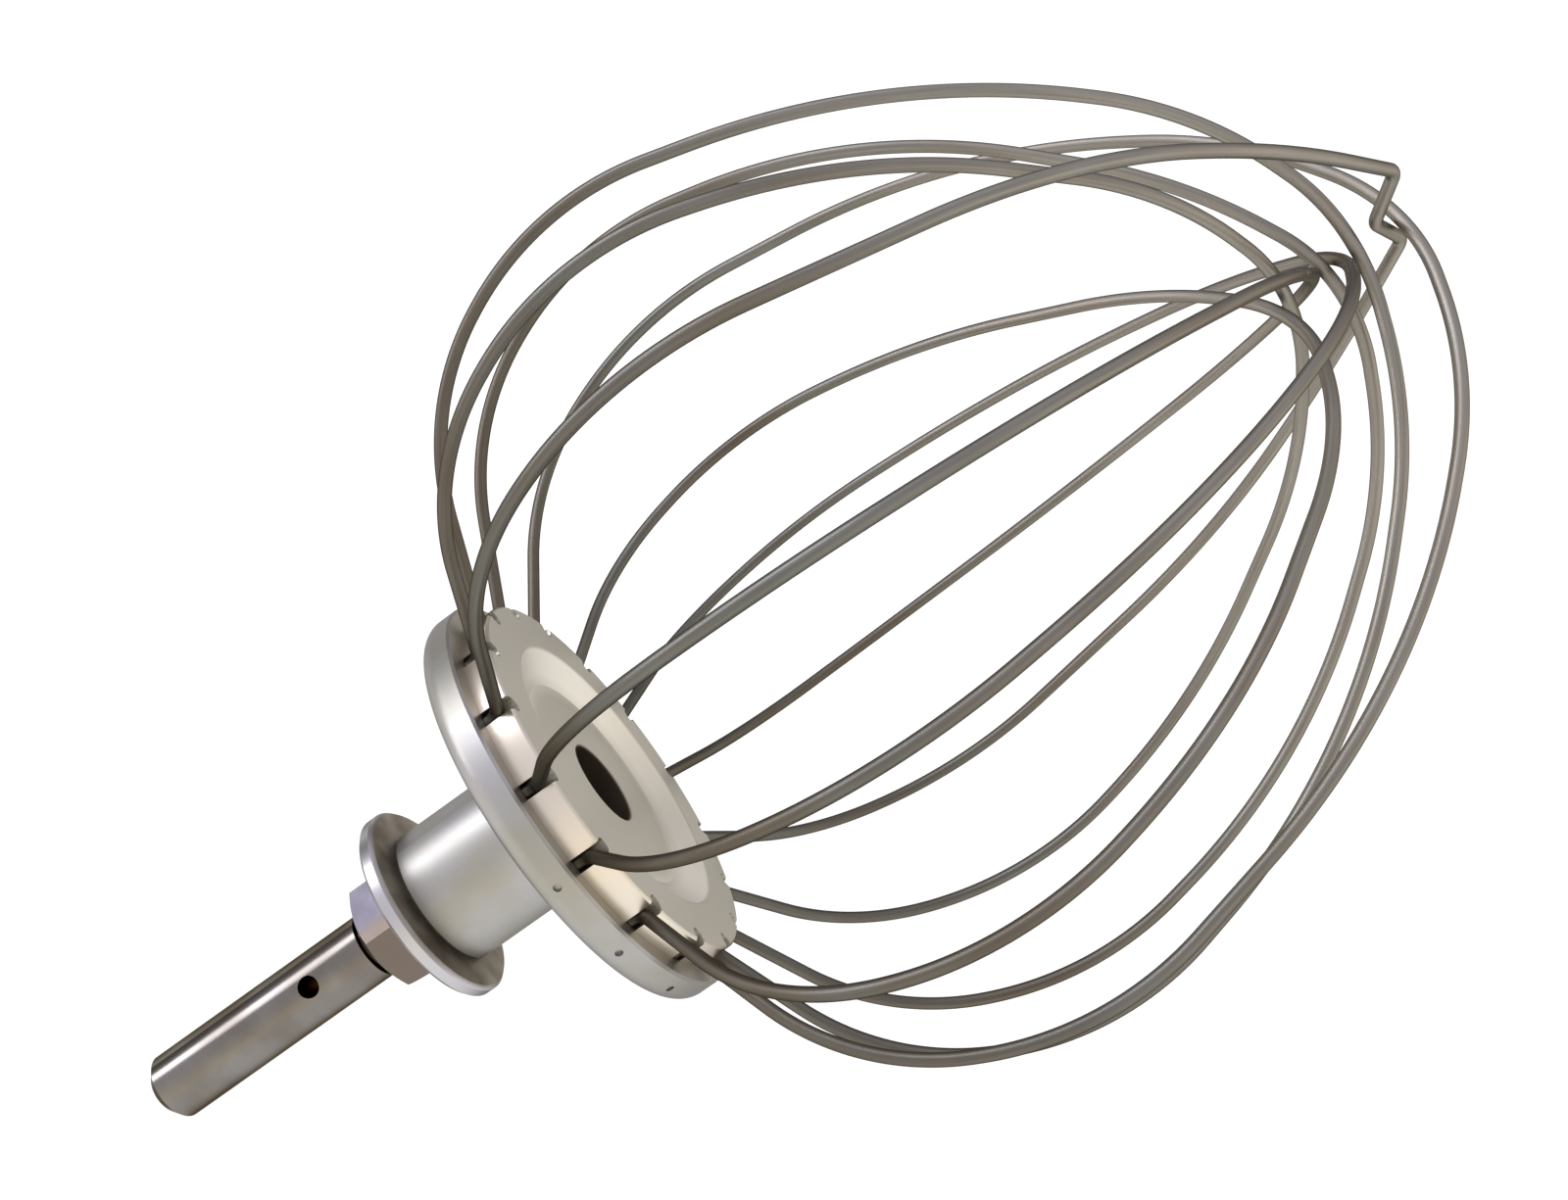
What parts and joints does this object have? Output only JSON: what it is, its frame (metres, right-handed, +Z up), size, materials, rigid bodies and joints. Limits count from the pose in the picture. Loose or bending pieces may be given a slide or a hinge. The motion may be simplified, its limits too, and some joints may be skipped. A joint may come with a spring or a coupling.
{
  "type": "stand mixer wire whisk",
  "caption": "Balloon whisk for a stand mixer: bent wire loops staked into a slotted round hub on a drive shaft with a cross hole, lying on its side.",
  "frame": {"origin": "on the surface that the whisk lies on, below the middle of its bounding box", "axes": "+Z up, +X along the table under the whisk's axis from the shaft's tip to the balloon"},
  "size_m": [0.1904, 0.125, 0.1238],
  "materials": {
    "shaft_steel": "turned and dulled by use",
    "nut_steel": "plain, dulled by use",
    "collar_steel": "darkened face, bright rim",
    "hub_aluminium": "turned, satin",
    "wire_steel": "drawn wire, dulled by use"
  },
  "bodies": {
    "root": {"drive_shaft": "shaft_steel", "lock_nut": "nut_steel", "collar": "collar_steel", "hub": "hub_aluminium", "wire_loop_1": "wire_steel", "wire_loop_2": "wire_steel", "wire_loop_3": "wire_steel", "wire_loop_4": "wire_steel", "wire_loop_5": "wire_steel", "wire_loop_6": "wire_steel", "wire_loop_7": "wire_steel", "wire_loop_8": "wire_steel"}
  },
  "joints": []
}
